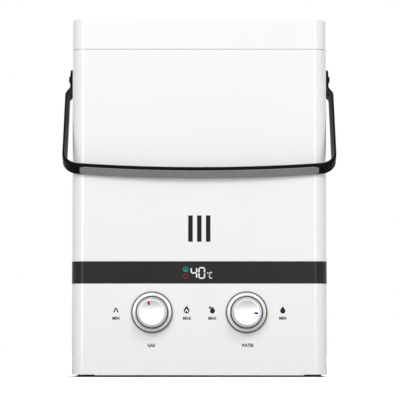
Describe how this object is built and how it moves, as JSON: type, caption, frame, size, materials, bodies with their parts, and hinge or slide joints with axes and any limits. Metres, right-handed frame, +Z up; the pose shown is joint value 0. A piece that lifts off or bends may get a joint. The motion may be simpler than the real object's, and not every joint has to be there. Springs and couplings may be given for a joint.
{
  "type": "portable propane water heater",
  "caption": "Boxy portable tankless propane water heater with a dark display band, control knobs, sight slots, rear pipe fittings and a swinging carry handle.",
  "frame": {"origin": "middle of the footprint, on the surface that the feet stand on", "axes": "+Z up, +X to the right of someone facing the control panel, -Y out of the control panel, +Y out of the back"},
  "size_m": [0.333, 0.2012, 0.436],
  "materials": {
    "casing_paint": "smooth semi-gloss white powder coat",
    "cap_paint": "smooth semi-gloss white powder coat",
    "back_paint": "satin white powder coat",
    "grille_steel": "stamped stainless, satin",
    "zinc_steel": "galvanised sheet, satin",
    "foot_rubber": "matte black rubber",
    "screw_steel": "nickel plated",
    "band_plastic": "dark tinted acrylic, semi-gloss",
    "display_plastic": "black display housing",
    "board_green": "solder-masked circuit board",
    "window_glass": "smoked heat-resistant glass",
    "bezel_white": "pearl white, polished",
    "trim_chrome": "dark chrome",
    "knob_silver": "satin silver",
    "knob_cap_satin": "fine satin, dished",
    "gas_red": "red inlay",
    "water_blue": "blue inlay",
    "brass": "turned brass",
    "strap_black": "black powder coat, satin",
    "grip_grey": "soft-touch grey",
    "washer_nylon": "black nylon",
    "valve_aluminium": "die cast, matte",
    "black_plastic": "moulded, fine texture",
    "white_plastic": "moulded, matte",
    "burner_steel": "stainless, heat tinted",
    "copper": "drawn copper, lightly oxidised",
    "ceramic": "glazed ceramic",
    "cell_jacket": "printed steel can, plain",
    "spring_steel": "nickel plated"
  },
  "bodies": {
    "casing": {"front_cover": "casing_paint", "top_cap": "cap_paint", "exhaust_grille": "grille_steel", "back_plate": "back_paint", "base_plate": "zinc_steel", "rubber_feet": "foot_rubber", "case_screws": "screw_steel", "display_band": "band_plastic", "display_module": "display_plastic", "display_board": "board_green", "sight_window": "window_glass", "knob_bezels": "bezel_white", "knob_trim_rings": "trim_chrome", "pivot_bolts": "strap_black", "pivot_washers": "washer_nylon", "pivot_plates": "zinc_steel", "gas_valve": "valve_aluminium", "gas_solenoid": "zinc_steel", "water_valve": "brass", "diaphragm_housing": "brass", "microswitch": "black_plastic", "gas_pipe": "zinc_steel", "gas_riser": "zinc_steel", "gas_manifold": "zinc_steel", "burner_blades": "burner_steel", "burner_housing": "zinc_steel", "exchanger_jacket": "copper", "exchanger_coil": "copper", "exchanger_fins": "copper", "exchanger_tubes": "copper", "flue_hood": "zinc_steel", "chamber_brackets": "zinc_steel", "electrodes": "ceramic", "igniter_box": "white_plastic", "overheat_cutout": "black_plastic", "cold_pipe": "copper", "cold_riser": "copper", "hot_pipe": "copper", "battery_box": "black_plastic", "battery_cells": "cell_jacket", "battery_contacts": "spring_steel", "door_hinge": "black_plastic", "gas_inlet_fitting": "brass", "water_inlet_fitting": "brass", "hot_outlet_fitting": "brass", "fitting_locknuts": "brass"},
    "handle": {"handle_strap": "strap_black", "handle_grip": "grip_grey"},
    "gas_control": {"gas_knob": "knob_silver", "gas_knob_collar": "trim_chrome", "gas_knob_cap": "knob_cap_satin", "gas_pointer": "gas_red", "gas_spindle": "brass"},
    "water_control": {"water_knob": "knob_silver", "water_knob_collar": "trim_chrome", "water_knob_cap": "knob_cap_satin", "water_pointer": "water_blue", "water_spindle": "brass"},
    "linkage": {"linkage_rod": "zinc_steel"},
    "door": {"battery_door": "black_plastic"}
  },
  "joints": [
    {"name": "handle_swing", "type": "hinge", "parent": "casing", "child": "handle", "pos_m": [0, 0, 0.3698], "axis": [-1, 0, 0], "range_deg": [0, 288.6]},
    {"name": "gas_knob_turn", "type": "hinge", "parent": "casing", "child": "gas_control", "pos_m": [-0.05725, -0.075, 0.0782], "axis": [0, -1, 0], "range_deg": [-116, 80]},
    {"name": "water_knob_turn", "type": "hinge", "parent": "casing", "child": "water_control", "pos_m": [0.05725, -0.075, 0.0782], "axis": [0, -1, 0], "range_deg": [0, 196]},
    {"name": "linkage_slide", "type": "slide", "parent": "casing", "child": "linkage", "axis": [-1, 0, 0], "range_m": [0, 0.003]},
    {"name": "battery_door_swing", "type": "hinge", "parent": "casing", "child": "door", "pos_m": [-0.068, 0.0776, 0.0469], "axis": [1, 0, 0], "range_deg": [0, 90]}
  ]
}
